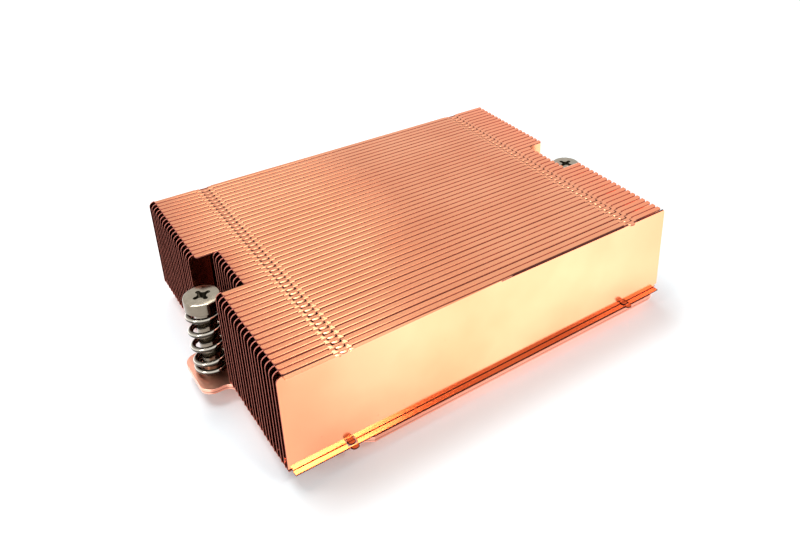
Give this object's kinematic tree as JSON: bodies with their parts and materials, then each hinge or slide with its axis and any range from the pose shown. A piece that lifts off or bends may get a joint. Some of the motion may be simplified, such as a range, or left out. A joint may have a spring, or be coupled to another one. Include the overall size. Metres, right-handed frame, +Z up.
{
  "type": "passive server cpu heatsink",
  "caption": "Low passive CPU heatsink: interlocked folded copper fins on a copper base plate, held down by two captive spring screws.",
  "frame": {"origin": "centre of the contact face (the base plate's underside), midway between the two captive screws", "axes": "+X along the fins and the air channels, +Z up away from the CPU, -Y the front, where the folds of the fins point"},
  "size_m": [0.1138, 0.0802, 0.0283],
  "materials": {
    "copper_fins": "polished sheet",
    "copper_plate": "satin machined",
    "nickel_steel": "nickel plated",
    "spring_steel": "nickel plated wire",
    "ring_steel": "spring steel"
  },
  "bodies": {
    "sink": {"fin_01": "copper_fins", "fin_02": "copper_fins", "fin_03": "copper_fins", "fin_04": "copper_fins", "fin_05": "copper_fins", "fin_06": "copper_fins", "fin_07": "copper_fins", "fin_08": "copper_fins", "fin_09": "copper_fins", "fin_10": "copper_fins", "fin_11": "copper_fins", "fin_12": "copper_fins", "fin_13": "copper_fins", "fin_14": "copper_fins", "fin_15": "copper_fins", "fin_16": "copper_fins", "fin_17": "copper_fins", "fin_18": "copper_fins", "fin_19": "copper_fins", "fin_20": "copper_fins", "fin_21": "copper_fins", "fin_22": "copper_fins", "fin_23": "copper_fins", "fin_24": "copper_fins", "fin_25": "copper_fins", "fin_26": "copper_fins", "fin_27": "copper_fins", "fin_28": "copper_fins", "fin_29": "copper_fins", "fin_30": "copper_fins", "fin_31": "copper_fins", "fin_32": "copper_fins", "fin_33": "copper_fins", "fin_34": "copper_fins", "fin_35": "copper_fins", "fin_36": "copper_fins", "fin_37": "copper_fins", "fin_38": "copper_fins", "fin_39": "copper_fins", "fin_40": "copper_fins", "fin_41": "copper_fins", "fin_42": "copper_fins", "fin_43": "copper_fins", "fin_44": "copper_fins", "fin_45": "copper_fins", "fin_46": "copper_fins", "base_plate": "copper_plate", "left_spring": "spring_steel", "right_spring": "spring_steel"},
    "left_slider": {"left_ring": "ring_steel"},
    "left_driver": {"left_screw": "nickel_steel"},
    "right_slider": {"right_ring": "ring_steel"},
    "right_driver": {"right_screw": "nickel_steel"}
  },
  "joints": [
    {"name": "left_screw_press", "type": "slide", "parent": "sink", "child": "left_slider", "axis": [0, 0, -1], "range_m": [0, 0.004], "stiffness_N_per_m": 3000, "springref_m": -0.002, "deforming": ["left_spring"]},
    {"name": "left_screw_turn", "type": "hinge", "parent": "left_slider", "child": "left_driver", "pos_m": [-0.05207, 0, 0], "axis": [0, 0, -1], "continuous": true},
    {"name": "right_screw_press", "type": "slide", "parent": "sink", "child": "right_slider", "axis": [0, 0, -1], "range_m": [0, 0.004], "stiffness_N_per_m": 3000, "springref_m": -0.002, "deforming": ["right_spring"]},
    {"name": "right_screw_turn", "type": "hinge", "parent": "right_slider", "child": "right_driver", "pos_m": [0.05207, 0, 0], "axis": [0, 0, -1], "continuous": true}
  ]
}
